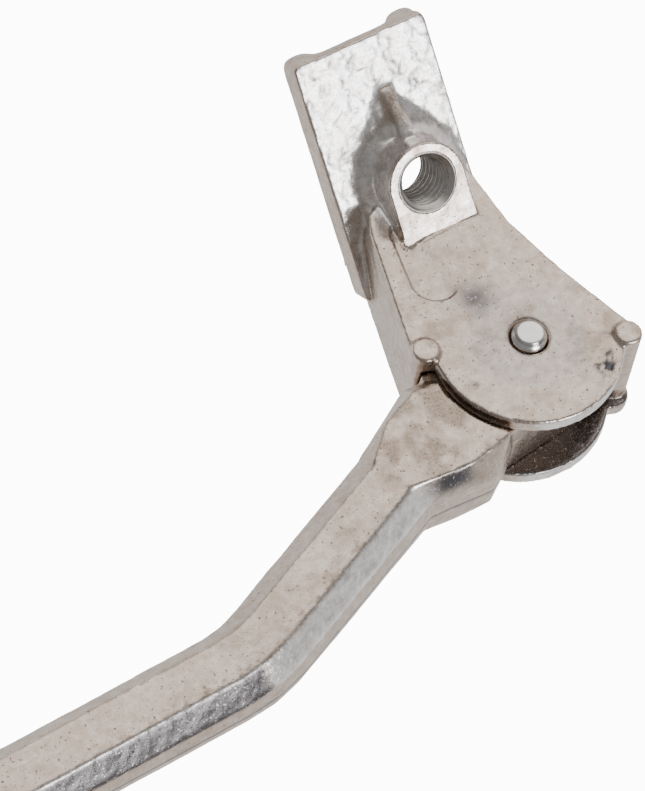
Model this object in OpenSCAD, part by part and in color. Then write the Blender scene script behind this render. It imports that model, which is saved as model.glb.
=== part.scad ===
// Bicycle kickstand (centre-mount side stand), shown with its leg parked.
//
// Frame: +X to the front of the bicycle, +Y to its left (outwards), +Z up.
// Origin: where the threaded hole opens in the floor of the channel between the
// plate's two ridges.
// The clevis has a frame of its own: its origin is where the pivot axis meets the
// lower cheek's outer face, its X runs forwards, its Y runs away from the clamp
// plate, and its Z runs along the pivot axis, upwards into the clevis.

/* [Clamp plate] */
// Width of the plate, along X
plate_w = 26.3; // [24:0.1:30]
// Front edge of the plate, from the hole
plate_front = 12.0; // [11:0.1:14]
// Inner end of the plate, from the hole
plate_inner = 26.2; // [23:0.1:30]
// Thickness of the plate between its ridges
web_t = 3.3; // [2.5:0.1:4.5]
// Height of the ridges above the plate
ridge_h = 3.0; // [2:0.1:4]
// Width of each ridge at its foot
ridge_w = 7.0; // [5.5:0.5:7.5]

/* [Bolt boss] */
// Outside radius of the boss
boss_r = 7.35; // [6.8:0.05:8]
// Height of the boss below the plate
boss_h = 9.4; // [8:0.1:11]
// Length of the machined face, from the hole to the clevis
face_l = 9.3; // [8:0.1:10]
// Tapping radius of the M10 thread
thread_r = 4.25; // [4.2:0.01:4.3]
// Radius of the chamfer at the mouth of the thread
thread_mouth_r = 5.4; // [5.1:0.05:5.6]
// Width of the gusset rib
rib_w = 2.2; // [1.5:0.1:3]

/* [Clevis] */
// Angle between the clamp plate and the cheeks
bend_angle = 49; // [45:1:53]
// Lean of the pivot axis towards the rear
axis_tilt = 4.5; // [3:0.5:6]
// Width over both cheeks
clevis_w = 20.6; // [20:0.1:22]
// Thickness of one cheek
cheek_t = 3.0; // [2.6:0.1:3.2]
// Radius of the round ends of the cheeks
cheek_r = 17.3; // [16.8:0.1:17.6]
// Radius of the corner posts
post_r = 2.5; // [2.2:0.1:2.7]
// Height of the round pads on the corner posts
pad_h = 0.9; // [0.5:0.1:1.2]

/* [Pivot] */
// Radius of the pivot pin
pin_r = 3.2; // [3.1:0.05:3.3]
// Radius of the pin's end faces
pin_tip_r = 2.35; // [2:0.05:2.6]
// How far the pin stands out of each cheek
pin_proud = 1.4; // [1:0.1:2]
// Distance from the pin's axis to its two detent flats
pin_flat = 2.4; // [2.2:0.05:2.6]
// Radial running clearance of the leg on the pin
pin_play = 0.06; // [0.04:0.01:0.09]

/* [Leg] */
// Swing of the leg from parked to standing
swing = 90; // [85:1:90]
// Radius of the knuckle that turns between the cheeks
knuckle_r = 12; // [11.5:0.1:12.2]
// Thickness of the knuckle
knuckle_t = 14.0; // [13.6:0.1:14.2]
// Radius of the hollow shoulder around the cheeks
shoulder_r = 18.9; // [18.6:0.1:19.4]
// Angle from straight back to the upper part of the leg
upper_angle = 25.6; // [24:0.2:27]
// Angle from straight back to the lower part of the leg
lower_angle = 4.6; // [4:0.1:8]
// Sideways offset of the upper part from the pivot
upper_offset = 3.15; // [2.5:0.05:3.6]
// Length of the centre line from the pivot to the knee
knee_l = 79.4; // [78:0.2:90]
// Length of the centre line from the knee to the foot
shin_l = 203; // [190:1:215]
// Bend radius of the knee
knee_r = 28; // [24:1:40]

/* [Detent] */
// Radius of the sprung plunger
plunger_r = 3.0; // [2.9:0.02:3.04]
// Length of the plunger's head
plunger_l = 9; // [7:0.5:10]
// Sliding clearance around the plunger
plunger_play = 0.1; // [0.06:0.01:0.14]
// Depth of the spring bore, from the pivot
bore_l = 36; // [34:0.5:38]
// Thickness of the spring wire
wire_t = 0.9; // [0.7:0.05:1]
// Number of turns of the spring
spring_turns = 7; // [5:1:9]

/* [Foot] */
// Radius of the leg's round end inside the foot cap
spigot_r = 5; // [4.5:0.1:5.4]
// Length of the foot cap
cap_l = 26; // [22:1:32]
// Radius of the foot cap at its mouth
cap_r = 8.6; // [8.2:0.1:9]
// Radius of the foot cap at the ground
cap_foot_r = 10.4; // [9.6:0.1:11.5]

/* [Hidden] */
$fn = 96;
eps = 0.01;
far = 80;

aluminium = [0.72, 0.69, 0.66];
zinc = [0.82, 0.83, 0.84];
steel = [0.55, 0.56, 0.58];
rubber = [0.08, 0.08, 0.08];

// Heights in the row frame
plate_bottom = -web_t;
face_z = plate_bottom - boss_h;
plate_rear = plate_front - plate_w;

// Where the pivot axis meets the lower cheek's outer face
pivot_pos = [2.5, 26.2, face_z - 19.6];

// Heights in the clevis frame
gap_lo = cheek_t;
gap_hi = clevis_w - cheek_t;
mid_z = clevis_w / 2;
knuckle_lo = mid_z - knuckle_t / 2;
knuckle_hi = mid_z + knuckle_t / 2;

// Corner posts and cheek centre, in the clevis frame
front_post = [16.1, 7.2];
rear_post = [-18.2, -5.1];
cheek_c = [-0.5, 0.2];

// Rear wall of the clevis, whose end stops the leg when it is parked
rear_stop_y = -3.4;
shoulder_gap = 0.4;
wall_draft = 4.2;

// Leg centre line, in the clevis frame
upper_dir = 180 - upper_angle;
lower_dir = 180 - lower_angle;
knee_turn = lower_dir - upper_dir;
knee_tangent = knee_r * tan(knee_turn / 2);
function along(dir, l) = [l * cos(dir), l * sin(dir)];
line_start = along(upper_dir + 90, upper_offset);
knee_pos = line_start + along(upper_dir, knee_l);
knee_start = knee_pos + along(upper_dir, -knee_tangent);
knee_centre = knee_start + along(upper_dir + 90, knee_r);
foot_pos = knee_pos + along(lower_dir, shin_l);

// Detent, measured along the upper part of the leg from the pivot
plunger_gap = 0.08;
plunger_front = pin_r + plunger_gap;
plunger_back = plunger_front + plunger_l;
spring_r = plunger_r - 0.3;

// ---------------------------------------------------------------- placing

module at_clevis() {
    translate(pivot_pos)
        rotate([-bend_angle, 0, 0])
            rotate([0, -axis_tilt, 0])
                children();
}

// Along the detent bore: Z points from the pivot down the leg
module at_detent() {
    translate([0, 0, mid_z])
        rotate([0, 0, upper_dir])
            rotate([0, 90, 0])
                children();
}

module slab(z0, z1) {
    translate([0, 0, z0])
        linear_extrude(height = z1 - z0)
            children();
}

module round_rect(x0, y0, x1, y1, r) {
    translate([x0 + r, y0])
        square([x1 - x0 - 2 * r, y1 - y0]);
    translate([x0, y0 + r])
        square([x1 - x0, y1 - y0 - 2 * r]);
    for (x = [x0 + r, x1 - r], y = [y0 + r, y1 - r])
        translate([x, y])
            circle(r = r);
}

// ---------------------------------------------------------------- head casting

// A ridge's section, from the plate's edge inwards
module ridge_section() {
    edge = 1.0;
    top_w = 3.2;
    polygon([
        [0, plate_bottom], [0, ridge_h - edge], [edge, ridge_h], [edge + top_w, ridge_h],
        [ridge_w, 0], [ridge_w, plate_bottom]
    ]);
}

module clamp_plate() {
    plate_outer = 20.4;
    corner_r = 1.2;
    intersection() {
        slab(plate_bottom, ridge_h)
            round_rect(plate_rear, -plate_inner, plate_front, plate_outer, corner_r);
        rotate([90, 0, 0])
            linear_extrude(height = 2 * far, center = true) {
                translate([plate_rear, plate_bottom])
                    square([plate_w, web_t]);
                translate([plate_rear, 0])
                    ridge_section();
                translate([plate_front, 0])
                    mirror([1, 0])
                        ridge_section();
            }
    }
}

module boss_outline() {
    circle(r = boss_r);
    translate([-boss_r, 0])
        square([2 * boss_r, face_l + 3]);
}

module bolt_boss() {
    flare = 2.6;
    slab(face_z, plate_bottom + eps)
        boss_outline();
    translate([0, 0, plate_bottom - flare])
        cylinder(h = flare + eps, r1 = boss_r - eps, r2 = boss_r + flare);
    rotate([-90, 0, 0])
        linear_extrude(height = face_l)
            polygon([
                [-boss_r - flare, -plate_bottom], [-boss_r, flare - plate_bottom],
                [boss_r, flare - plate_bottom], [boss_r + flare, -plate_bottom]
            ]);
}

// Rib on the inner side of the boss, with a low fairing along both of its sides
module gusset_rib() {
    rib_x = 0.8;
    rib_reach = 16;
    rib_drop = 5.4;
    fairing_start = 5;
    fairing_w = 17;
    fairing_drop = 3;
    translate([rib_x - rib_w / 2, 0, 0])
        rotate([90, 0, 90])
            linear_extrude(height = rib_w)
                polygon([
                    [-boss_r + 1, plate_bottom - rib_drop], [-boss_r - 0.6, plate_bottom - rib_drop],
                    [-rib_reach, plate_bottom - 0.5], [-rib_reach, plate_bottom],
                    [-boss_r + 1, plate_bottom]
                ]);
    translate([0, -fairing_start, plate_bottom])
        rotate([90, 0, 0])
            linear_extrude(height = rib_reach - fairing_start, scale = 0.2)
                polygon([[-fairing_w / 2, eps], [0, -fairing_drop], [fairing_w / 2, eps]]);
}

// The neck and both cheeks, seen along the pivot axis
module clevis_outline() {
    polygon([
        [-9, -36], [-12.9, -34.1], [-14.6, -30.6], [rear_post[0] - post_r, rear_post[1]],
        [front_post[0] + post_r, front_post[1]], [12.7, -9.3], [9.2, -22], [7.9, -39.2], [-9, -39.2]
    ]);
    intersection() {
        translate(cheek_c)
            circle(r = cheek_r);
        polygon([rear_post, front_post, [far, far], [-far, far]]);
    }
    for (p = [front_post, rear_post])
        translate(p)
            circle(r = post_r);
}

// Front corner of the upper cheek, which reaches a little further out
module upper_corner() {
    slab(gap_hi, clevis_w)
        translate([15.3, 8.1])
            circle(r = 3.2);
}

// The hollow between the cheeks, open where the leg swings
module clevis_gap() {
    slab(gap_lo, gap_hi)
        polygon([
            [-far, rear_stop_y], [-18, rear_stop_y], [-15.6, -13.4], [9.3, -13.4],
            [14.2, 5.2], [14.2, 10], [far, 30], [far, far], [-far, far]
        ]);
}

// Outside of the rear wall, which leans in towards the upper cheek
module rear_wall_draft() {
    edge_start = [-14.6, -30.6];
    edge_end = [rear_post[0] - post_r, rear_post[1]];
    edge_dir = atan2(edge_end[1] - edge_start[1], edge_end[0] - edge_start[0]);
    translate([edge_start[0], edge_start[1], 0])
        rotate([0, 0, edge_dir])
            rotate([wall_draft, 0, 0])
                translate([-far / 2, 0, -far / 2])
                    cube([1.5 * far, far / 2, far]);
}

module corner_pads() {
    for (p = [front_post, rear_post])
        translate([p[0], p[1], -pad_h])
            cylinder(h = pad_h + 1, r = post_r);
}

module below_ridges() {
    translate([-far, -far, ridge_h - 2 * far])
        cube([2 * far, 2 * far, 2 * far]);
}

module clevis_body() {
    intersection() {
        at_clevis()
            difference() {
                slab(0, clevis_w)
                    clevis_outline();
                rear_wall_draft();
                clevis_gap();
            }
        below_ridges();
    }
    at_clevis() {
        corner_pads();
        upper_corner();
    }
}

// Channel between the ridges, out through the upper cheek
module ridge_channel() {
    translate([plate_rear + ridge_w, -far, 0])
        cube([plate_w - 2 * ridge_w, 2 * far, far]);
}

// The machined face is cut a little into the neck
module face_cut() {
    translate([-boss_r - 0.7, -far, face_z - far])
        cube([2 * boss_r + 0.7, far + face_l, far]);
}

module threaded_hole() {
    chamfer = thread_mouth_r - thread_r;
    translate([0, 0, face_z - 1])
        cylinder(h = far, r = thread_r);
    translate([0, 0, face_z - eps])
        cylinder(h = chamfer + eps, r1 = thread_mouth_r, r2 = thread_r);
}

module pin_holes() {
    mouth_r = pin_r + 0.3;
    mouth_d = 1.0;
    translate([0, 0, -1])
        cylinder(h = clevis_w + 2, r = pin_r + eps);
    translate([0, 0, -1])
        cylinder(h = 1 + mouth_d, r = mouth_r);
}

module head_casting() {
    color(aluminium)
        difference() {
            union() {
                difference() {
                    union() {
                        clamp_plate();
                        clevis_body();
                    }
                    face_cut();
                }
                difference() {
                    union() {
                        bolt_boss();
                        gusset_rib();
                    }
                    at_clevis()
                        slab(2, far)
                            translate([-far, -30])
                                square(2 * far);
                }
            }
            ridge_channel();
            threaded_hole();
            at_clevis()
                pin_holes();
        }
}

// ---------------------------------------------------------------- pivot pin

module pin_end() {
    cylinder(h = pin_proud, r1 = pin_r - 0.25, r2 = pin_tip_r);
}

// Flat that the plunger rests on, facing the plunger when the leg stands at this angle
module pin_flat_cut(leg_turn) {
    flat_l = 8;
    rotate([0, 0, upper_dir - leg_turn])
        translate([pin_flat, -far / 2, mid_z - flat_l / 2])
            cube([far, far, flat_l]);
}

module pivot_pin() {
    color(zinc)
        at_clevis() {
            difference() {
                cylinder(h = clevis_w, r = pin_r);
                pin_flat_cut(0);
                pin_flat_cut(swing);
            }
            translate([0, 0, clevis_w])
                pin_end();
            mirror([0, 0, 1])
                pin_end();
        }
}

// ---------------------------------------------------------------- leg casting

// A thin slice across the leg: flat top and bottom, chamfers, and sides with draft
module leg_slice(pos, dir, flat, side, side_h, half_t) {
    draft = 0.6;
    translate([pos[0], pos[1], mid_z])
        rotate([0, 0, dir])
            rotate([90, 0, 90])
                linear_extrude(height = eps)
                    polygon([
                        [flat, half_t], [side, side_h], [side + draft, 0], [side, -side_h],
                        [flat, -half_t], [-flat, -half_t], [-side, -side_h], [-side - draft, 0],
                        [-side, side_h], [-flat, half_t]
                    ]);
}

// Slices on the knee's bend: 0 is its start and 1 its end
module knee_slice(t) {
    dir = upper_dir + t * knee_turn;
    leg_slice(knee_centre + along(dir - 90, knee_r), dir, 3.9 + 0.17 * t, 7.46 - 0.08 * t, 4 - 0.84 * t, 8.2 - 0.87 * t);
}

module upper_slice() {
    leg_slice(line_start + along(upper_dir, 30), upper_dir, 3.9, 7.4, 5, 9.3);
}

module ankle_slice() {
    leg_slice(foot_pos + along(lower_dir, -cap_l - eps), lower_dir, 3.9, 7.1, 3.1, 7.0);
}

module leg_bar() {
    hull() {
        upper_slice();
        knee_slice(0);
    }
    hull() {
        knee_slice(0);
        knee_slice(0.5);
    }
    hull() {
        knee_slice(0.5);
        knee_slice(1);
    }
    hull() {
        knee_slice(1);
        ankle_slice();
    }
}

// Broad top of the leg, as thick as the clevis, with wings that meet the stops
module shoulder_block() {
    face_in = 1.0;
    core_in = 6.4;
    hull() {
        slab(core_in, clevis_w - core_in)
            polygon([
                [-14, rear_stop_y + shoulder_gap], [-23.2, rear_stop_y + shoulder_gap], [-29, 0.9],
                [-37, 5.6], [-34, 19.6], [-28.5, 18.9], [-24.7, 18.5], [-17.2, 19.6], [-11.2, 15.2]
            ]);
        slab(face_in, clevis_w - face_in)
            polygon([
                [-14, 0.4], [-24, 0.4], [-31, 3.6], [-37, 9.4],
                [-34, 17], [-22, 17.5], [-15.5, 16], [-12.5, 15]
            ]);
    }
}

module shoulder_reliefs() {
    side_play = 0.3;
    slab(-far, gap_lo + side_play)
        circle(r = shoulder_r);
    slab(gap_hi - side_play, far)
        circle(r = shoulder_r);
}

// Knuckle with a flat on each side that runs on into the shoulder
module knuckle() {
    rear_y = rear_stop_y + shoulder_gap;
    slab(knuckle_lo, knuckle_hi) {
        circle(r = knuckle_r);
        polygon([
            [0, 0], [2, 11.8], [-16, 14.9], [-22, 8], [-20, rear_y],
            [-sqrt(knuckle_r * knuckle_r - rear_y * rear_y), rear_y]
        ]);
    }
}

module spigot() {
    translate([foot_pos[0], foot_pos[1], mid_z])
        rotate([0, 0, lower_dir])
            rotate([0, 90, 0])
                translate([0, 0, -cap_l - 1])
                    cylinder(h = cap_l - 5, r = spigot_r);
}

module leg_casting() {
    color(aluminium)
        at_clevis()
            difference() {
                union() {
                    difference() {
                        shoulder_block();
                        shoulder_reliefs();
                    }
                    leg_bar();
                    knuckle();
                    spigot();
                }
                translate([0, 0, -far / 2])
                    cylinder(h = far, r = pin_r + pin_play);
                at_detent()
                    translate([0, 0, -knuckle_r - 1])
                        cylinder(h = knuckle_r + 1 + bore_l, r = plunger_r + plunger_play);
            }
}

// ---------------------------------------------------------------- detent

module detent_plunger() {
    guide_l = 8;
    guide_r = spring_r - wire_t - 0.25;
    color(steel)
        at_clevis()
            at_detent()
                translate([0, 0, plunger_front]) {
                    cylinder(h = plunger_l, r = plunger_r);
                    cylinder(h = plunger_l + guide_l, r = guide_r);
                }
}

// Coil of square wire; its section in a cross plane is an arc of the ring
module detent_spring() {
    coil_l = bore_l - plunger_back - 0.1;
    turns = spring_turns + 1;
    pitch = coil_l / turns;
    wire_arc = 360 * wire_t / pitch;
    steps = 4;
    ring = [for (i = [0:steps]) i * wire_arc / steps];
    color(steel)
        at_clevis()
            at_detent()
                translate([0, 0, plunger_back + 0.1])
                    linear_extrude(height = coil_l - 0.1, twist = -360 * turns, slices = 16 * turns, $fn = 8)
                        polygon(concat(
                            [for (a = ring) along(a, spring_r)],
                            [for (i = [steps:-1:0]) along(ring[i], spring_r - wire_t)]
                        ));
}

// ---------------------------------------------------------------- foot cap

module foot_cap() {
    round_r = 3;
    color(rubber)
        at_clevis()
            translate([foot_pos[0], foot_pos[1], mid_z])
                rotate([0, 0, lower_dir])
                    rotate([0, 90, 0])
                        translate([0, 0, -cap_l])
                            rotate_extrude()
                                union() {
                                    polygon([
                                        [spigot_r, 0], [cap_r, 0], [cap_foot_r, cap_l - round_r],
                                        [cap_foot_r - round_r, cap_l], [0, cap_l],
                                        [0, cap_l - 6], [spigot_r, cap_l - 6]
                                    ]);
                                    translate([cap_foot_r - round_r, cap_l - round_r])
                                        circle(r = round_r);
                                }
}

head_casting();
pivot_pin();
leg_casting();
detent_spring();
detent_plunger();
foot_cap();
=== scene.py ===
import math

import bmesh
import bpy
import numpy as np
from mathutils import Matrix, Vector, noise

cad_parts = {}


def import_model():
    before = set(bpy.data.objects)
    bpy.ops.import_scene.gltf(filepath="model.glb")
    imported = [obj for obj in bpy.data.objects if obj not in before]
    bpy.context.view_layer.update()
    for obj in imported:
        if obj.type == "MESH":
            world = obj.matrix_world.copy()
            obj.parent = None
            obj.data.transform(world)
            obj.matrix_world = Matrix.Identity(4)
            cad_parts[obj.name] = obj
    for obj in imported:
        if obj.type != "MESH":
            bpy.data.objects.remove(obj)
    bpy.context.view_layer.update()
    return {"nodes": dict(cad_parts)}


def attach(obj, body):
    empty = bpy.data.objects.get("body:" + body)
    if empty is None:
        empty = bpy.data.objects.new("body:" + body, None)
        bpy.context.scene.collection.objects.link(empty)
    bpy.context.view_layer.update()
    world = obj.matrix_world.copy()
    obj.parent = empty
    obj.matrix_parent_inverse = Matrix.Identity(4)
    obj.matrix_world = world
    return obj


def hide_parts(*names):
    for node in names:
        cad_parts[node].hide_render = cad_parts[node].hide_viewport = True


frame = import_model()

MM = 0.001

# The clevis frame of the CAD model: u and v lie across the pivot pin, and w runs along it from the
# near cheek's outer face
PIVOT = Vector((2.5, 26.2, -32.3)) * MM
BEND = math.radians(49)
TILT = math.radians(4.5)
CLEVIS = Matrix.Translation(PIVOT) @ Matrix.Rotation(-BEND, 4, "X") @ Matrix.Rotation(-TILT, 4, "Y")
# Heights in mm in the CAD frame, and the clevis's width over its cheeks
FACE_Z = -12.7
PLATE_BOTTOM = -3.3
CLEVIS_W = 20.6
MID_W = CLEVIS_W / 2
# Directions of the leg's upper and lower part in the clevis frame
UPPER = math.radians(180 - 25.6)
LOWER = math.radians(180 - 4.6)
# The knee, where the centre lines of the two parts meet, in mm
KNEE = Vector((math.cos(UPPER), math.sin(UPPER), 0)) * 79.4
KNEE += Vector((-math.sin(UPPER), math.cos(UPPER), 0)) * 3.15
SHIN_L = 203
CAP_L = 26
# The sprung plunger rides on the pin's flats, in a bore along the leg's upper part
PIN_R = 3.2
PIN_FLAT = 2.4
DETENT = CLEVIS @ Matrix.Translation((0, 0, MID_W * MM))
DETENT = DETENT @ Matrix.Rotation(UPPER, 4, "Z") @ Matrix.Rotation(math.pi / 2, 4, "Y")

# The photograph's view
TO_VIEWER = Vector((-0.286, -0.396, -0.873)).normalized()
UP = TO_VIEWER.cross(Vector((0.869, 0.283, -0.411))).normalized()
RIGHT = UP.cross(TO_VIEWER).normalized()
# Radiance behind the object that the picture shows as plain white
WHITE = 12


# ---------------------------------------------------------------- mesh helpers

def new_object(name, mesh):
    ob = bpy.data.objects.new(name, mesh)
    bpy.context.scene.collection.objects.link(ob)
    return ob


def coords(mesh):
    co = np.empty(len(mesh.vertices) * 3)
    mesh.vertices.foreach_get("co", co)
    return co.reshape(-1, 3)


def set_coords(mesh, co):
    mesh.vertices.foreach_set("co", np.asarray(co, np.float32).ravel())
    mesh.update()


def normals(mesh):
    n = np.empty(len(mesh.vertices) * 3)
    mesh.vertices.foreach_get("normal", n)
    return n.reshape(-1, 3)


def clevis_normals(n):
    """Normals turned into the clevis frame."""
    return n @ np.array(CLEVIS)[:3, :3]


def edge_pairs(mesh):
    e = np.empty(len(mesh.edges) * 2, np.int64)
    mesh.edges.foreach_get("vertices", e)
    return e.reshape(-1, 2)


def smoothed(co, pairs, steps, weight=1.0):
    """Moves each point halfway to the mean of its neighbours, times its weight, this many times."""
    n = len(co)
    count = np.bincount(pairs.ravel(), minlength=n)[:, None]
    for _ in range(steps):
        total = np.stack([
            np.bincount(pairs[:, 0], co[pairs[:, 1], k], n)
            + np.bincount(pairs[:, 1], co[pairs[:, 0], k], n)
            for k in range(3)
        ], 1)
        co = co + (total / count - co) * 0.5 * weight
    return co


def in_clevis(co):
    """Points in metres to the clevis frame, in millimetres."""
    inv = np.array(CLEVIS.inverted())
    return (co @ inv[:3, :3].T + inv[:3, 3]) / MM


def ramp(x, a, b):
    """0 at a, 1 at b, smooth between."""
    t = np.clip((x - a) / (b - a), 0, 1)
    return t * t * (3 - 2 * t)


def waves(co, size, seed, octaves=3):
    """Smooth noise, about -1 to 1, with features of this size in mm."""
    p = co / (size * MM) + seed * 17.3
    return np.array([noise.fractal(q, 1.0, 2.0, octaves) for q in p.tolist()])


def hump(x, width, power=2):
    """1 at 0, fading smoothly within about this width."""
    return np.exp(-np.abs(x / width) ** power)


def set_marks(mesh, **marks):
    """Stores the marks at each point, 0 to 1: silver polish and painted highlights, dark marks and painted
    shade, stains and a painted shadow line.
    """
    for name, values in marks.items():
        a = mesh.attributes.new(name, "FLOAT", "POINT")
        a.data.foreach_set("value", np.clip(values, 0, 1).astype(np.float32))


def welded_copy(node, name):
    """A copy of a CAD node's mesh with its seams closed."""
    mesh = frame["nodes"][node].data.copy()
    mesh.name = name
    mesh.materials.clear()
    bm = bmesh.new()
    bm.from_mesh(mesh)
    bmesh.ops.remove_doubles(bm, verts=bm.verts, dist=1e-6)
    bmesh.ops.recalc_face_normals(bm, faces=bm.faces)
    bm.to_mesh(mesh)
    bm.free()
    return mesh


def remeshed(mesh, voxel):
    """The mesh as even small faces, voxel in mm."""
    ob = new_object("remesh_work", mesh)
    mod = ob.modifiers.new("remesh", "REMESH")
    mod.mode = "VOXEL"
    mod.voxel_size = voxel * MM
    made = bpy.data.meshes.new_from_object(ob.evaluated_get(bpy.context.evaluated_depsgraph_get()))
    bpy.data.objects.remove(ob)
    return made


def shade_smooth(mesh):
    mesh.polygons.foreach_set("use_smooth", [True] * len(mesh.polygons))
    mesh.update()


def built(name, bm, matrix):
    """Closes a mesh job: outward faces, its place, smooth shading, a new object."""
    bmesh.ops.recalc_face_normals(bm, faces=bm.faces)
    bmesh.ops.transform(bm, matrix=matrix, verts=bm.verts)
    mesh = bpy.data.meshes.new(name)
    bm.to_mesh(mesh)
    bm.free()
    shade_smooth(mesh)
    return new_object(name, mesh)


def circle(r, z, steps):
    """Points in mm round Z."""
    turns = (2 * math.pi * i / steps for i in range(steps))
    return [(r * math.cos(a), r * math.sin(a), z) for a in turns]


def lathe(name, profile, matrix, steps):
    """Turns (radius, height) points in mm round Z; a radius of 0 closes an end."""
    bm = bmesh.new()
    rings = []
    for r, z in profile:
        ring = circle(r, z, steps) if r else [(0, 0, z)]
        rings.append([bm.verts.new(Vector(q) * MM) for q in ring])
    for lo, hi in zip(rings, rings[1:]):
        for i in range(steps):
            j = (i + 1) % steps
            quad = [lo[i % len(lo)], lo[j % len(lo)], hi[j % len(hi)], hi[i % len(hi)]]
            bm.faces.new(list(dict.fromkeys(quad)))
    return built(name, bm, matrix)


def skin(name, rings, matrix, endless=False):
    """A closed skin over rings of points in mm, capped at both ends or joined end to end."""
    bm = bmesh.new()
    made = [[bm.verts.new(Vector(p) * MM) for p in ring] for ring in rings]
    after = made[1:] + made[:1] if endless else made[1:]
    for a, b in zip(made, after):
        for i in range(len(a)):
            j = (i + 1) % len(a)
            bm.faces.new((a[i], a[j], b[j], b[i]))
    if not endless:
        bm.faces.new(list(reversed(made[0])))
        bm.faces.new(made[-1])
    return built(name, bm, matrix)


# ---------------------------------------------------------------- materials

class Nodes:
    """A principled material whose textures are fixed to the piece, with sizes in mm."""

    def __init__(self, name):
        self.mat = bpy.data.materials.new(name)
        self.mat.use_nodes = True
        self.tree = self.mat.node_tree
        self.shader = self.tree.nodes["Principled BSDF"]
        self.place = self.tree.nodes.new("ShaderNodeTexCoord").outputs["Object"]

    def link(self, a, b):
        self.tree.links.new(a, b)

    def put(self, socket, value):
        if hasattr(value, "links"):
            self.link(value, socket)
        else:
            socket.default_value = value

    def noise(self, size, detail=4, rough=0.55, distortion=0.0):
        n = self.tree.nodes.new("ShaderNodeTexNoise")
        self.link(self.place, n.inputs["Vector"])
        n.inputs["Scale"].default_value = 1 / (size * MM)
        n.inputs["Detail"].default_value = detail
        n.inputs["Roughness"].default_value = rough
        n.inputs["Distortion"].default_value = distortion
        return n.outputs["Fac"]

    def attribute(self, name):
        n = self.tree.nodes.new("ShaderNodeAttribute")
        n.attribute_name = name
        return n.outputs["Fac"]

    def span(self, value, a, b, to_a=0.0, to_b=1.0):
        n = self.tree.nodes.new("ShaderNodeMapRange")
        self.link(value, n.inputs["Value"])
        for key, v in (("From Min", a), ("From Max", b), ("To Min", to_a), ("To Max", to_b)):
            n.inputs[key].default_value = v
        return n.outputs["Result"]

    def math(self, op, a, b=0.0):
        n = self.tree.nodes.new("ShaderNodeMath")
        n.operation = op
        self.put(n.inputs[0], a)
        self.put(n.inputs[1], b)
        return n.outputs[0]

    def mix(self, share, a, b):
        n = self.tree.nodes.new("ShaderNodeMix")
        n.data_type = "RGBA"
        self.put(n.inputs["Factor"], share)
        self.put(n.inputs["A"], a)
        self.put(n.inputs["B"], b)
        return n.outputs["Result"]

    def bump(self, height, depth, strength=1.0, below=None):
        n = self.tree.nodes.new("ShaderNodeBump")
        n.inputs["Strength"].default_value = strength
        n.inputs["Distance"].default_value = depth * MM
        self.link(height, n.inputs["Height"])
        if below is not None:
            self.link(below, n.inputs["Normal"])
        return n.outputs["Normal"]


def cast_aluminium(name):
    """Cast skin: tan grey with fine pits, silver where polished and as painted highlights, dark grey with
    painted glints for dark marks and painted shade, brown stains and a painted shadow line.
    """
    m = Nodes(name)
    bright = m.attribute("bright")
    dark = m.attribute("dark")
    stain = m.attribute("stain")
    blotch = m.noise(8, 5, 0.6, 0.6)
    mottle = m.noise(1.6, 5, 0.6, 0.3)
    grain = m.noise(0.5, 4, 0.65)
    speck = m.noise(0.22, 3, 0.6)
    pit_field = m.noise(0.55, 3, 0.5)
    colour = m.mix(m.span(blotch, 0.35, 0.7), (0.64, 0.54, 0.47, 1), (0.53, 0.43, 0.355, 1))
    colour = m.mix(m.span(mottle, 0.5, 0.66, 0, 0.4), colour, (0.86, 0.78, 0.72, 1))
    colour = m.mix(m.span(mottle, 0.47, 0.32, 0, 0.36), colour, (0.36, 0.29, 0.235, 1))
    colour = m.mix(m.span(speck, 0.44, 0.28, 0, 0.7), colour, (0.27, 0.22, 0.19, 1))
    # Silver: the real polish of the machined face and the worn ring, and painted highlights elsewhere
    silver = m.mix(m.span(mottle, 0.35, 0.6), (0.72, 0.695, 0.685, 1), (1.0, 0.98, 0.97, 1))
    colour = m.mix(bright, colour, silver)
    # Brown: real stains, and a painted shadow line along the recess's edge on the neck
    stained = m.math("MULTIPLY", stain, m.span(grain, 0.32, 0.55, 1, 0.3))
    colour = m.mix(stained, colour, (0.27, 0.195, 0.14, 1))
    pits = m.math("MULTIPLY", m.span(pit_field, 0.34, 0.28), m.math("SUBTRACT", 1.0, bright))
    colour = m.mix(m.math("MULTIPLY", pits, 0.8), colour, (0.14, 0.11, 0.09, 1))
    # Dark grey flecked with painted glints where the grain is high; it takes the real dark marks and the
    # painted shade
    steel = m.mix(m.span(grain, 0.6, 0.69), (0.08, 0.08, 0.092, 1), (0.8, 0.81, 0.87, 1))
    colour = m.mix(dark, colour, steel)
    m.link(colour, m.shader.inputs["Base Color"])
    m.shader.inputs["Metallic"].default_value = 1.0
    rough = m.span(grain, 0.3, 0.7, 0.24, 0.36)
    rough = m.math("ADD", rough, m.math("MULTIPLY", stain, 0.15))
    m.link(rough, m.shader.inputs["Roughness"])
    n = m.bump(m.noise(3.0, 2, 0.4), 0.16, 1.0)
    n = m.bump(mottle, 0.05, 1.0, n)
    n = m.bump(grain, 0.022, 1.0, n)
    n = m.bump(m.math("SUBTRACT", 1.0, pits), 0.06, 1.0, n)
    m.link(n, m.shader.inputs["Normal"])
    return m.mat


def metal(name, colour, shade, rough, spread, grain_size, depth):
    m = Nodes(name)
    cloud = m.noise(grain_size * 6, 4, 0.6)
    grain = m.noise(grain_size, 4, 0.6)
    c = m.mix(m.span(cloud, 0.35, 0.65), (*colour, 1), (*shade, 1))
    m.link(c, m.shader.inputs["Base Color"])
    m.shader.inputs["Metallic"].default_value = 1.0
    m.link(m.span(grain, 0.3, 0.7, rough - spread, rough + spread), m.shader.inputs["Roughness"])
    m.link(m.bump(grain, depth, 0.6), m.shader.inputs["Normal"])
    return m.mat


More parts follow.
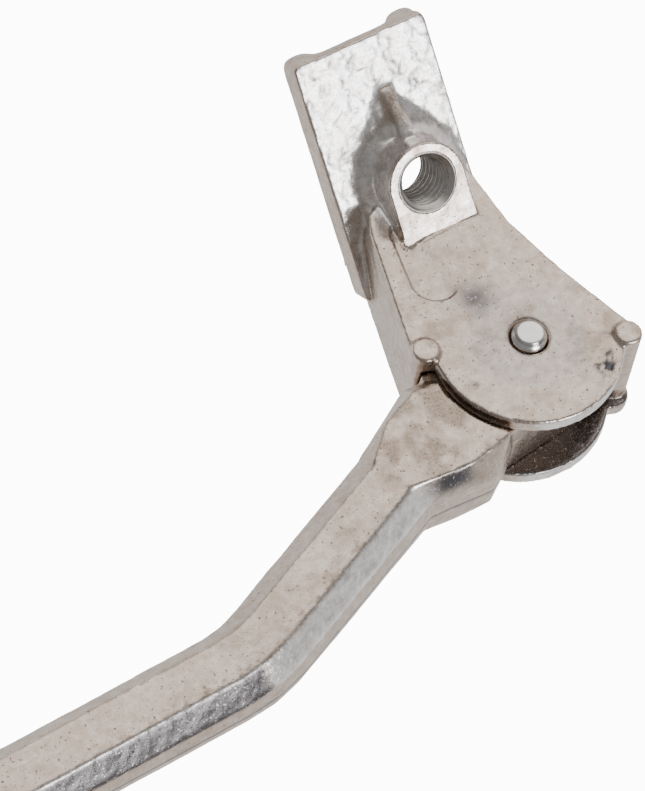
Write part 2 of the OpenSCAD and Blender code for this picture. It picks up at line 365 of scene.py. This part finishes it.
def rubber():
    m = Nodes("foot_rubber")
    dust = m.noise(5, 6, 0.65)
    grain = m.noise(0.35, 5, 0.6)
    c = m.mix(m.span(dust, 0.45, 0.75, 0, 0.6), (0.018, 0.018, 0.019, 1), (0.07, 0.066, 0.06, 1))
    m.link(c, m.shader.inputs["Base Color"])
    m.shader.inputs["Metallic"].default_value = 0.0
    m.link(m.span(grain, 0.3, 0.7, 0.55, 0.8), m.shader.inputs["Roughness"])
    m.link(m.bump(grain, 0.06, 0.6, m.bump(dust, 0.1, 0.3)), m.shader.inputs["Normal"])
    return m.mat


# ---------------------------------------------------------------- head casting

# Points this near the hole's axis belong to the bore, in mm
BORE_REACH = 5.5
# Rough dents near the cheek's edge and on the neck: u, v, size and depth in mm
DENTS = ((9, 11.5, 1.9, 0.5), (11.2, 9.6, 1.2, 0.4), (7.0, 12.8, 1.0, 0.3),
         (-13.8, 4.8, 0.6, 0.25), (4.2, -9.5, 0.7, 0.12), (-9.8, 3.4, 0.8, 0.15))


def head_piece(material):
    mesh = welded_copy("head_casting", "head")
    # The bore opens out to carry the thread
    co = coords(mesh)
    r = np.hypot(co[:, 0], co[:, 1]) / MM
    inside = (r < BORE_REACH) & (co[:, 2] < 0.2 * MM)
    wider = r + 0.9 * (BORE_REACH - r) / 1.25
    co[:, :2] *= np.where(inside, wider / np.maximum(r, 1e-6), 1)[:, None]
    set_coords(mesh, co)

    mesh = remeshed(mesh, 0.3)
    co = coords(mesh)
    pairs = edge_pairs(mesh)
    x, y, z = (co / MM).T
    near_face = ramp(np.abs(z - FACE_Z), 1.2, 0.4) * (y < 9.6) * (np.abs(x) < 8.2)
    co = smoothed(co, pairs, 9, (1 - 0.75 * near_face)[:, None])
    # The ridges are soft humps, and the boss runs into the plate with a fillet
    r = np.hypot(x, y)
    soft = ramp(z, -1.6, -0.2) * (y < 14)
    soft = np.maximum(soft, ramp(r, 12.2, 10.2) * ramp(r, 7.6, 8.4) * ramp(z, -7.5, -5) * (y < 4))
    co = smoothed(co, pairs, 60, soft[:, None])
    set_coords(mesh, co)

    # The machined face stays flat to its edge
    x, y, z = (co / MM).T
    r = np.hypot(x, y)
    on_boss = (np.abs(x) < 7.6) & (y < 9.5) & ((y > 0) | (r < 7.6))
    flat = on_boss & (z < FACE_Z + 0.12)
    co[flat, 2] = FACE_Z * MM
    set_coords(mesh, co)

    u, v, w = in_clevis(co).T
    ring = np.hypot(u, v)
    n = normals(mesh)
    nc = clevis_normals(n)
    machined = on_boss & (np.abs(z - FACE_Z) < 0.06) & (n[:, 2] < -0.7)
    plate_low = ramp(-n[:, 2], 0.8, 0.95) * ramp(np.abs(z - PLATE_BOTTOM), 1.4, 0.5) * (v < -24)
    neck = ramp(-nc[:, 2], 0.8, 0.95) * ramp(w, 1.2, 0.5)

    # Cast texture; d is how far each point moves outwards, in mm
    fine = waves(co, 1.6, 2)
    d = (0.05 * waves(co, 6, 1) + 0.03 * fine) * (~machined)
    d += 0.3 * soft * ramp(z, 0, 2)
    ripple = waves(co, 3.0, 3, 4)
    d += plate_low * 0.16 * ripple + machined * 0.05 * ripple
    # Shallow U-shaped recess below the machined face; it fades out to the right
    along = np.clip(((u + 7.3) * -1.7 + (v + 27) * 9.5) / (1.7 ** 2 + 9.5 ** 2), 0, 1)
    away = np.hypot(u + 7.3 + 1.7 * along, v + 27 - 9.5 * along)
    inside = ramp(away, 4.7, 4.3) * ramp(u, -5.5, -9.0)
    d -= 0.6 * inside * neck
    lip = hump(away - 5.0, 0.5) * ramp(u, -6.0, -9.0) * (v > -26)
    d += 0.09 * lip * neck
    for du, dv, size, depth in DENTS:
        d -= depth * hump(np.hypot(u - du, v - dv), size) * (0.6 + 0.8 * fine) * neck
    co = co + n * (d * MM)[:, None]
    set_coords(mesh, co)

    # Zones: the cheek's rim, the far cheek's inner face in painted shade, the boss's sides, marks on the neck
    out = (nc[:, 1] * v + nc[:, 0] * u) / np.maximum(ring, 1)
    on_rim = ramp(np.abs(np.hypot(u + 0.5, v - 0.2) - 17.2), 0.9, 0.4) * ramp(out, 0.35, 0.7) * (v > -4)
    far_inside_shade = ramp(np.abs(w - 17.6), 0.9, 0.5) * ramp(-nc[:, 2], 0.3, 0.7) * (ring > 11.8)
    below_plate = ramp(z, FACE_Z + 0.2, FACE_Z + 1.2) * ramp(z, PLATE_BOTTOM + 0.3, PLATE_BOTTOM - 0.8)
    boss_side = ramp(r, 11.5, 9.0) * below_plate * (v < -26) * (np.abs(n[:, 2]) < 0.93)
    worn = ramp(ring, 10.8, 10.0) * ramp(ring, 3.6, 4.6) * neck
    smudge = hump(np.hypot(u + 4.7, v + 11.1), 3.2) * neck
    hole_shadow = ramp(ring, 4.4, 3.6) * neck
    scars = hump(np.hypot((u - 9.2) / 1.9, (v - 11.2) / 1.3), 1) * ramp(fine, -0.2, 0.5) * neck
    cool_side = hump(np.hypot(u + 8.5, v - 1.5), 7) * neck

    # Silver: the machined face's real polish; painted highlight on the plate's lower face, with its ripples
    bright = np.clip(machined * (0.3 + 0.6 * ripple) + plate_low * (0.85 + 0.3 * ripple), 0, 1)
    bright = np.maximum(bright, 0.2 * ramp(ring, 10.8, 10.0) * neck)
    # Painted highlight along the cheek's rim at lower right
    bright = np.maximum(bright, on_rim * ramp(u + v, 4, 12) * 0.9)
    bright = np.maximum(bright, 0.75 * boss_side * (r > 5.9))
    dark = 0.17 * worn + 0.1 * cool_side + 0.85 * smudge + 1.6 * scars + 0.5 * hole_shadow
    # Painted shade on the far cheek's inner face, between the cheeks
    dark = np.maximum(dark, 0.74 * far_inside_shade)
    dark = np.maximum(dark, machined * np.clip(0.1 - 0.35 * ripple, 0, 0.4))
    # Painted shade along the cheek's rim at lower left
    dark = np.maximum(dark, 0.4 * on_rim * ramp(u + v, 2, -4))
    stain = 0.55 * ramp(waves(co, 5, 5, 5), 0.0, 0.6) * ramp(nc[:, 2], 0.5, -0.5)
    # Painted shadow line along the recess's left and lower edge
    stain = np.maximum(stain, 0.7 * hump(away - 4.5, 0.3) * ramp(u, -5, -9) * neck)
    stain *= (1 - boss_side) * (1 - far_inside_shade) * ramp(v, -25, -20)
    set_marks(mesh, bright=bright, dark=dark, stain=stain)
    mesh.materials.append(material)
    shade_smooth(mesh)
    ob = new_object("head", mesh)
    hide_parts("head_casting")
    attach(ob, "head")


def thread_sleeve(material):
    """M10 x 1.5 thread inside the boss, with the chamfer at its mouth."""
    pitch, minor, major, back = 1.5, 4.25, 5.05, 5.58
    mouth_r, mouth, bottom = 5.4, 0.08, 12.7
    sides, layers = 72, 126
    rings = []
    for k in range(layers + 1):
        depth = mouth + (bottom - mouth) * k / layers
        ring = []
        for i in range(sides):
            turn = i / sides
            phase = (depth / pitch - turn) % 1.0
            tooth = abs(2 * phase - 1)
            r = minor + (major - minor) * min(1, max(0, (tooth - 0.12) / 0.76))
            r = max(r, mouth_r - (depth - 0.05), minor + 0.25 - (bottom - depth))
            a = 2 * math.pi * turn
            ring.append((r * math.cos(a), r * math.sin(a), FACE_Z + depth))
        rings.append(ring)
    rings += [circle(back, FACE_Z + depth, sides) for depth in (bottom - 0.02, mouth + 0.02)]
    ob = skin("thread", rings, Matrix.Identity(4), endless=True)
    ob.data.materials.append(material)
    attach(ob, "head")


def pin_piece(material):
    """The pivot pin, with its turned ends standing proud of both cheeks."""
    tip, proud = 2.35, 1.4
    end = [(0, proud), (tip * 0.7, proud), (tip - 0.12, proud - 0.01), (tip + 0.02, proud - 0.08),
           (tip + 0.12, proud - 0.25), (2.62, proud - 0.62), (2.72, proud - 0.8), (2.98, proud - 1.02),
           (3.12, proud - 1.2), (PIN_R, proud - 1.5)]
    flat_half = 4.0
    middle = [(PIN_R, MID_W + k) for k in (-flat_half - 0.02, -flat_half, flat_half, flat_half + 0.02)]
    profile = [(q, -h) for q, h in end] + middle + [(q, CLEVIS_W + h) for q, h in reversed(end)]
    ob = lathe("pin", profile, Matrix.Identity(4), 144)
    # Two flats for the plunger: one for the parked leg and one for the standing leg
    co = coords(ob.data) / MM
    inside = np.abs(co[:, 2] - MID_W) < flat_half + 0.01
    for angle in (UPPER, UPPER - math.pi / 2):
        way = np.array((math.cos(angle), math.sin(angle), 0))
        co -= np.outer(np.maximum(co @ way - PIN_FLAT, 0) * inside, way)
    set_coords(ob.data, co * MM)
    ob.data.transform(CLEVIS)
    ob.data.materials.append(material)
    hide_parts("pivot_pin")
    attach(ob, "head")


# ---------------------------------------------------------------- leg

def offset_to_ridge(u, v):
    """Distance from the leg's centre line towards the ridge, in mm."""
    upper = (u - KNEE.x) * math.sin(UPPER) - (v - KNEE.y) * math.cos(UPPER)
    lower = (u - KNEE.x) * math.sin(LOWER) - (v - KNEE.y) * math.cos(LOWER)
    return np.maximum(upper, lower)


def leg_piece(material):
    mesh = remeshed(welded_copy("leg_casting", "leg"), 0.4)
    co = smoothed(coords(mesh), edge_pairs(mesh), 4)
    set_coords(mesh, co)
    u, v, w = in_clevis(co).T
    n = normals(mesh)
    nc = clevis_normals(n)
    facing = -nc[:, 2]
    # The part outside the clevis's cheeks
    reach = np.hypot(u, v)
    outside = ramp(reach, 19.5, 21)
    top = ramp(facing, 0.75, 0.95)
    side = ramp(np.abs(nc[:, 2]), 0.5, 0.25) * outside
    # Cast texture, and a parting line round the leg at mid-depth
    d = (0.06 * waves(co, 7, 11) + 0.03 * waves(co, 1.8, 12)) * outside
    line = hump(w - MID_W - 0.25 * waves(co, 25, 13, 1), 0.28)
    d -= 0.12 * line * side
    co = co + n * (d * MM)[:, None]
    set_coords(mesh, co)

    # Stains on the shoulder's top, and rows of small pits along the ridge
    stain = ramp(waves(co, 5, 14, 5), -0.15, 0.3) * ramp(reach, 46, 26) * top
    stain += 0.5 * ramp(waves(co, 6, 15, 5), 0.0, 0.6) * top * ramp(reach, 110, 50)
    ridge = ramp(nc[:, 1], 0.1, 0.35) * ramp(facing, 0.68, 0.76) * ramp(facing, 0.97, 0.92) * outside
    chamfer = ramp(nc[:, 1], 0.35, 0.7) * ramp(facing, 0.3, 0.45) * ramp(facing, 0.85, 0.7) * outside
    below = ramp(u, -71.4, -74.4)
    row = ramp(np.abs(offset_to_ridge(u, v) - 3.3), 1.6, 0.5) * top
    pits = ramp(waves(co, 1.0, 16, 4), 0.18, 0.4)
    stain = np.maximum(stain, 0.95 * pits * row * ramp(u, -44, -50) * ramp(u, -112, -84))
    stain = np.maximum(stain, 0.8 * pits * ramp(ridge, 0.2, 0.8) * ramp(u, -40, -55))
    # Painted shade in the concave scoop by the wing
    scoop_shade = hump(u + 25.5, 4.2, 4) * hump(w - 2.8, 2.0, 4) * ramp(nc[:, 1], 0.3, 0.6)
    # Painted shade on the chamfer below the knee, where its face turns from the light
    dark = np.maximum(0.9 * chamfer * below, 0.95 * scoop_shade)
    dark = np.maximum(dark, 0.9 * line * side)
    # Painted highlight on the chamfer above the knee
    bright = 0.9 * chamfer * (1 - below) * ramp(reach, 32, 38)
    # Painted highlight along the ridge, stronger below the knee
    bright = np.maximum(bright, ridge * (0.35 + 0.65 * below))
    set_marks(mesh, bright=bright, dark=dark, stain=stain)
    mesh.materials.append(material)
    shade_smooth(mesh)
    ob = new_object("leg", mesh)
    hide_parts("leg_casting")
    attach(ob, "leg")


def spring_piece(material):
    wire, coil, start, end, turns = 0.42, 2.25, 13.3, 35.7, 8
    steps, sides = 24 * turns, 10
    rings = []
    for k in range(steps + 1):
        t = k / steps
        a = 2 * math.pi * turns * t
        z = start + wire + (end - start - 2 * wire) * t
        out = Vector((math.cos(a), math.sin(a), 0))
        rings.append([
            out * (coil + wire * math.cos(b)) + Vector((0, 0, z + wire * math.sin(b)))
            for b in (2 * math.pi * i / sides for i in range(sides))
        ])
    ob = skin("spring", rings, DETENT)
    ob.data.materials.append(material)
    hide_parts("detent_spring")
    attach(ob, "leg")


def foot_piece(material):
    """The rubber foot with its grooves; its profile starts on the seat of the leg's round end."""
    start = KNEE + Vector((math.cos(LOWER), math.sin(LOWER), 0)) * (SHIN_L - CAP_L)
    place = CLEVIS @ Matrix.Translation((start + Vector((0, 0, MID_W))) * MM)
    place = place @ Matrix.Rotation(LOWER, 4, "Z") @ Matrix.Rotation(math.pi / 2, 4, "Y")
    mouth, sole = 8.6, 10.4

    def taper(h):
        return mouth + (sole - mouth) * h / (CAP_L - 3)

    profile = [(5.05, 0.4), (5.3, 0.05), (mouth - 0.5, 0.0), (mouth - 0.12, 0.12), (mouth, 0.5)]
    for k in range(5):
        h = 3.2 + 3.6 * k
        profile += [(taper(h), h), (taper(h) - 0.35, h + 0.12), (taper(h) - 0.7, h + 0.5),
                    (taper(h) - 0.7, h + 1.1), (taper(h) - 0.3, h + 1.5), (taper(h + 1.6), h + 1.6)]
    profile += [(sole, 22.6), (sole - 0.1, 23.8), (sole - 0.8, 25.1), (sole - 1.9, 25.85),
                (sole - 3, CAP_L), (5.2, 25.9), (4.6, 25.3), (3.4, 25.1), (2.8, 25.7), (2.2, 25.8), (0, 25.8)]
    profile = [(0, 20.1), (4.9, 20.1), (5.05, 19.9)] + profile
    ob = lathe("foot", profile, place, 72)
    ob.data.materials.append(material)
    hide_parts("foot_cap")
    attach(ob, "leg")


# ---------------------------------------------------------------- studio

def camera():
    data = bpy.data.cameras.new("camera")
    cam = new_object("camera", data)
    distance = 1.2
    seen_width = 0.11316
    data.sensor_fit = "HORIZONTAL"
    data.sensor_width = 36
    data.lens = 36 * distance / seen_width
    data.clip_start = 0.01
    # The mouth of the threaded hole is this far right of and above the picture's middle
    aim = Vector((0, 0, FACE_Z * MM)) - RIGHT * 0.018474 - UP * 0.037368
    rot = Matrix((RIGHT, UP, TO_VIEWER)).transposed()
    cam.matrix_world = Matrix.Translation(aim + TO_VIEWER * distance) @ rot.to_4x4()
    bpy.context.scene.camera = cam


def softbox(name, direction, radiance, width, height, colour=(1, 1, 1)):
    """A soft light 1 m from the object, out of the camera's sight."""
    d = direction.normalized()
    data = bpy.data.lights.new(name, "AREA")
    data.shape = "RECTANGLE"
    data.size, data.size_y = width, height
    data.energy = radiance * math.pi * width * height
    data.color = colour
    ob = new_object(name, data)
    ob.location = Vector((0, 0.02, -0.03)) + d * 1.0
    ob.rotation_mode = "QUATERNION"
    ob.rotation_quaternion = d.to_track_quat("Z", "Y")
    ob.visible_camera = False


def in_view(right, up, toward):
    return RIGHT * right + UP * up + TO_VIEWER * toward


def world():
    """A dim room in front of the object and a brighter one behind it; white to the camera."""
    w = bpy.data.worlds.new("studio")
    bpy.context.scene.world = w
    w.use_nodes = True
    t = w.node_tree
    t.nodes.clear()
    out = t.nodes.new("ShaderNodeOutputWorld")
    geo = t.nodes.new("ShaderNodeTexCoord")
    dot = t.nodes.new("ShaderNodeVectorMath")
    dot.operation = "DOT_PRODUCT"
    t.links.new(geo.outputs["Generated"], dot.inputs[0])
    dot.inputs[1].default_value = TO_VIEWER
    span = t.nodes.new("ShaderNodeMapRange")
    t.links.new(dot.outputs["Value"], span.inputs["Value"])
    span.inputs["From Min"].default_value = 0.15
    span.inputs["From Max"].default_value = -0.15
    span.inputs["To Min"].default_value = 0.26
    span.inputs["To Max"].default_value = 1.0
    room = t.nodes.new("ShaderNodeBackground")
    room.inputs["Color"].default_value = (1, 0.985, 0.97, 1)
    t.links.new(span.outputs["Result"], room.inputs["Strength"])
    pale = t.nodes.new("ShaderNodeBackground")
    pale.inputs["Color"].default_value = (1, 1, 1, 1)
    pale.inputs["Strength"].default_value = WHITE
    path = t.nodes.new("ShaderNodeLightPath")
    mix = t.nodes.new("ShaderNodeMixShader")
    t.links.new(path.outputs["Is Camera Ray"], mix.inputs["Fac"])
    t.links.new(room.outputs[0], mix.inputs[1])
    t.links.new(pale.outputs[0], mix.inputs[2])
    t.links.new(mix.outputs[0], out.inputs["Surface"])


def floor():
    """Plain pale floor, far enough behind the object to stay out of every other view."""
    m = Nodes("floor_pale")
    m.shader.inputs["Base Color"].default_value = (0.95, 0.95, 0.95, 1)
    m.shader.inputs["Roughness"].default_value = 0.9
    m.shader.inputs["Emission Color"].default_value = (1, 1, 1, 1)
    m.shader.inputs["Emission Strength"].default_value = WHITE
    mesh = bpy.data.meshes.new("floor")
    away, half = 5.5, 2.5
    signs = ((-1, -1), (1, -1), (1, 1), (-1, 1))
    corners = [RIGHT * a * half + UP * b * half - TO_VIEWER * away for a, b in signs]
    mesh.from_pydata(corners, [], [(0, 1, 2, 3)])
    mesh.materials.append(m.mat)
    ob = new_object("floor", mesh)
    ob.visible_diffuse = False
    ob.visible_glossy = False


camera()
world()
floor()
softbox("softbox_top", in_view(0.2, 0.88, 0.43), 1.5, 1.3, 0.8, (1, 0.97, 0.935))
softbox("softbox_low_right", in_view(0.66, -0.44, 0.6), 9.5, 0.42, 0.42)

# Metals: colour, cloud colour, roughness and its spread, grain size and bump depth in mm
aluminium = cast_aluminium("cast_aluminium")
head_piece(aluminium)
thread_sleeve(metal("tapped_aluminium", (0.62, 0.60, 0.58), (0.5, 0.48, 0.46), 0.36, 0.05, 0.3, 0.015))
pin_piece(metal("zinc_plate", (0.80, 0.80, 0.79), (0.70, 0.70, 0.70), 0.24, 0.04, 0.5, 0.006))
leg_piece(aluminium)
steel = metal("spring_steel", (0.42, 0.42, 0.44), (0.33, 0.33, 0.35), 0.34, 0.06, 0.25, 0.01)
spring_piece(steel)
# The plunger keeps its CAD mesh
plunger = frame["nodes"]["detent_plunger"]
plunger.data.materials.clear()
ground = metal("ground_steel", (0.56, 0.57, 0.6), (0.48, 0.49, 0.52), 0.24, 0.05, 0.3, 0.008)
plunger.data.materials.append(ground)
foot_piece(rubber())
